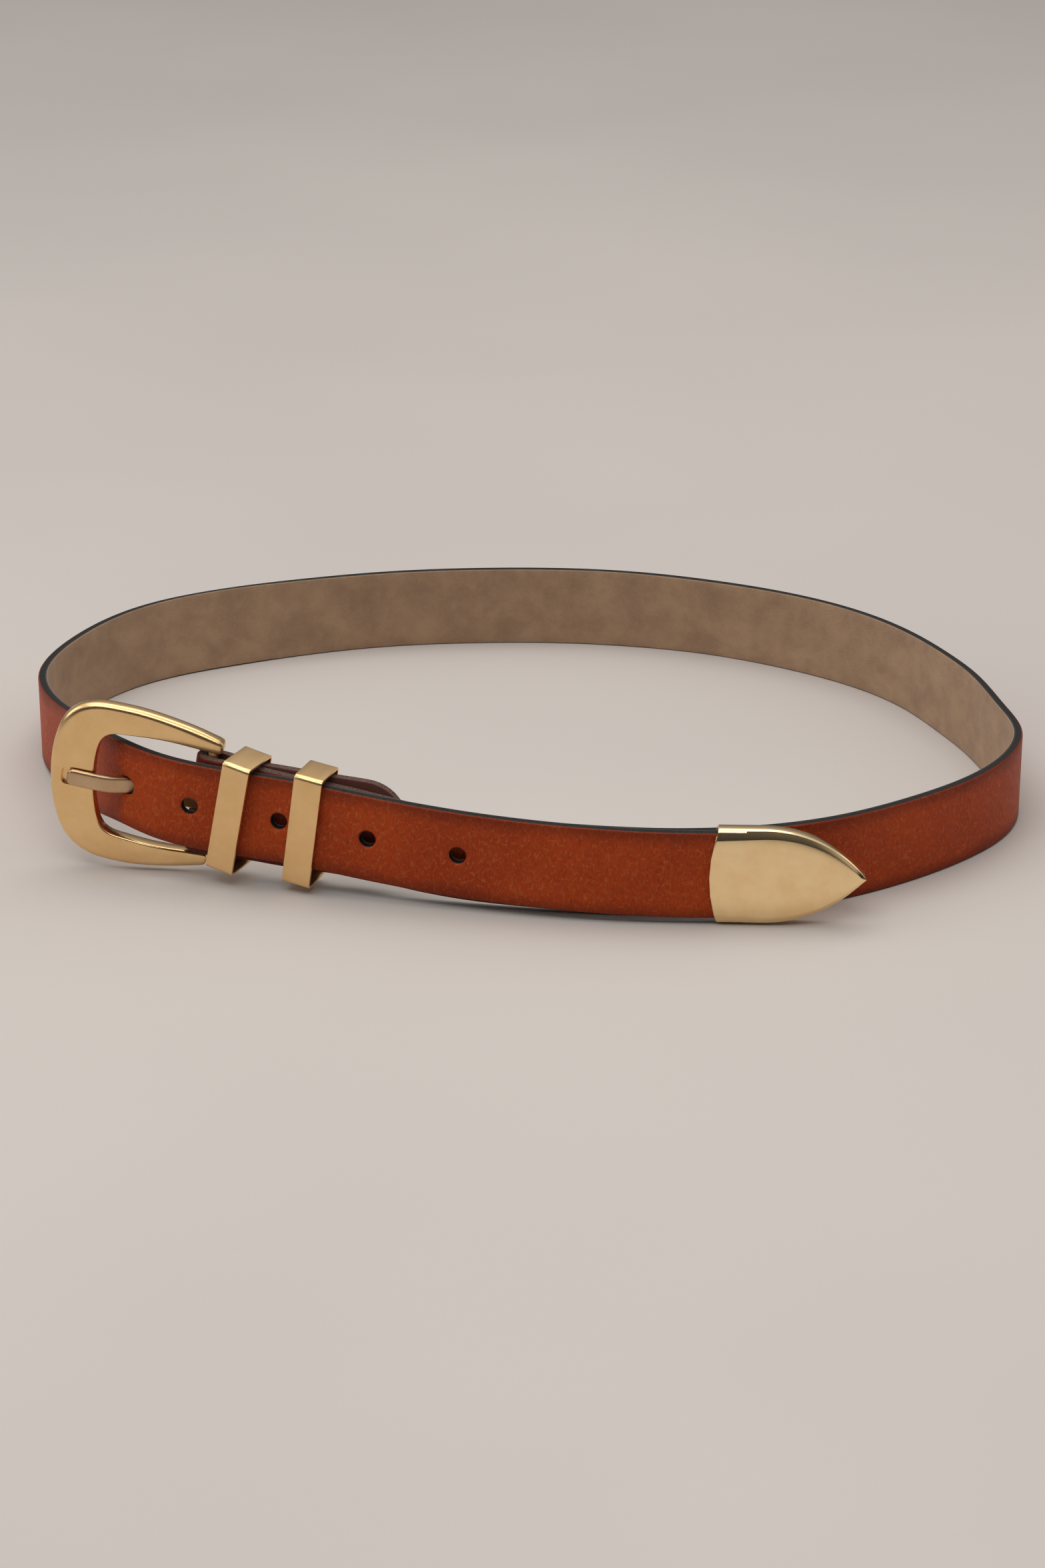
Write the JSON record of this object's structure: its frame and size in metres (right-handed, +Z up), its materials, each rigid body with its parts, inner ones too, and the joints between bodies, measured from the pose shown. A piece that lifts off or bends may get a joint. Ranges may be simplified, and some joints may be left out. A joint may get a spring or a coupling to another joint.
{
  "type": "leather belt",
  "caption": "Lined leather dress belt, buckled into its loop and standing on edge, with a gold horseshoe buckle, prong, metal keepers and a pointed metal tip.",
  "frame": {"origin": "middle of the belt's bounding box at the level it stands on", "axes": "+X along the width of the loop towards the wearer's far side from the buckle, -Y out of the front where the buckle is, +Z up across the strap's width"},
  "size_m": [0.3234, 0.2472, 0.0561],
  "materials": {
    "cognac_leather": "smooth cognac grain with painted dark edges",
    "brown_suede": "brown suede, matt",
    "pale_gold": "pale gold plate, satin faces and polished bevels"
  },
  "bodies": {
    "strap": {"strap_grain_layer": "cognac_leather", "strap_lining": "brown_suede", "fold_post_upper": "pale_gold", "fold_post_lower": "pale_gold", "fold_screw_upper": "pale_gold", "fold_screw_lower": "pale_gold", "metal_tip": "pale_gold", "tip_screw_upper": "pale_gold", "tip_screw_lower": "pale_gold"},
    "buckle": {"buckle_frame": "pale_gold", "hinge_bar": "pale_gold"},
    "prong": {"tongue": "pale_gold"},
    "first_keeper": {"keeper_near_buckle": "pale_gold"},
    "second_keeper": {"keeper_near_tip": "pale_gold"}
  },
  "joints": [
    {"name": "buckle_swing", "type": "hinge", "parent": "strap", "child": "buckle", "pos_m": [-0.09771, -0.08224, 0.02433], "axis": [0.1725, -0.0197, 0.9848], "range_deg": [0, 1]},
    {"name": "tongue_lift", "type": "hinge", "parent": "buckle", "child": "prong", "pos_m": [-0.09771, -0.08224, 0.02433], "axis": [0.1725, -0.0197, 0.9848], "range_deg": [0, 0.5]},
    {"name": "first_keeper_slide", "type": "slide", "parent": "strap", "child": "first_keeper", "axis": [0.9758, -0.2053, -0.0748], "range_m": [0, 0.002]},
    {"name": "second_keeper_slide", "type": "slide", "parent": "strap", "child": "second_keeper", "axis": [0.9597, -0.2663, -0.0902], "range_m": [-0.002, 0.004]}
  ]
}
